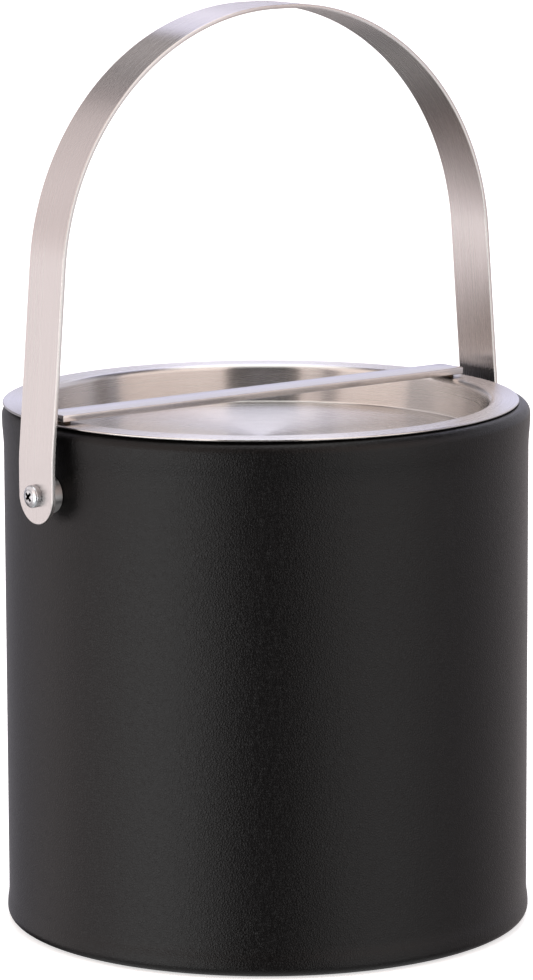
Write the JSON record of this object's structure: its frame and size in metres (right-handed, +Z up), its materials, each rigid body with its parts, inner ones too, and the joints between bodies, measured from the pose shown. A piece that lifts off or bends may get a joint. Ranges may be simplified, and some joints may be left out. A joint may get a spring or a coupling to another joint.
{
  "type": "ice bucket",
  "caption": "Insulated ice bucket with a black leatherette-wrapped drum, a recessed brushed-steel lid with a flat bar handle, and a swinging steel strip bail.",
  "frame": {"origin": "centre of the foot, on the surface that the bucket stands on", "axes": "+Z up; +X along the bail's pivot line and the lid's bar, from the left pivot to the right one; +Y to the back, where the wrap's seam is"},
  "size_m": [0.209, 0.19, 0.3315],
  "materials": {
    "leatherette": "matte",
    "drum_plastic": "matte",
    "foot_pad": "matte",
    "foam": "matte",
    "liner_plastic": "satin",
    "lid_steel": "satin",
    "bar_steel": "satin",
    "bail_steel": "satin",
    "zinc_steel": "polished",
    "spacer_steel": "polished"
  },
  "bodies": {
    "bucket": {"vinyl_wrap": "leatherette", "outer_drum": "drum_plastic", "base_plate": "drum_plastic", "base_pad": "foot_pad", "foam_base": "foam", "foam_sleeve": "foam", "inner_liner": "liner_plastic", "pivot_screw_left": "zinc_steel", "pivot_screw_right": "zinc_steel", "lock_washer_left": "zinc_steel", "lock_washer_right": "zinc_steel", "pivot_spacer_left": "spacer_steel", "pivot_spacer_right": "spacer_steel", "pivot_block_left": "drum_plastic", "pivot_block_right": "drum_plastic", "flat_washer_left": "zinc_steel", "flat_washer_right": "zinc_steel", "hex_nut_left": "zinc_steel", "hex_nut_right": "zinc_steel"},
    "lid": {"lid_pan": "lid_steel", "lid_bar": "bar_steel", "bar_weld_pad_left": "bar_steel", "bar_weld_pad_right": "bar_steel"},
    "handle": {"bail_handle": "bail_steel"}
  },
  "joints": [
    {"name": "handle_swing", "type": "hinge", "parent": "bucket", "child": "handle", "pos_m": [0, 0, 0.165], "axis": [1, 0, 0], "range_deg": [-141, 141]},
    {"name": "lid_lift", "type": "slide", "parent": "bucket", "child": "lid", "axis": [0, 0, 1], "range_m": [0, 0.04]}
  ]
}
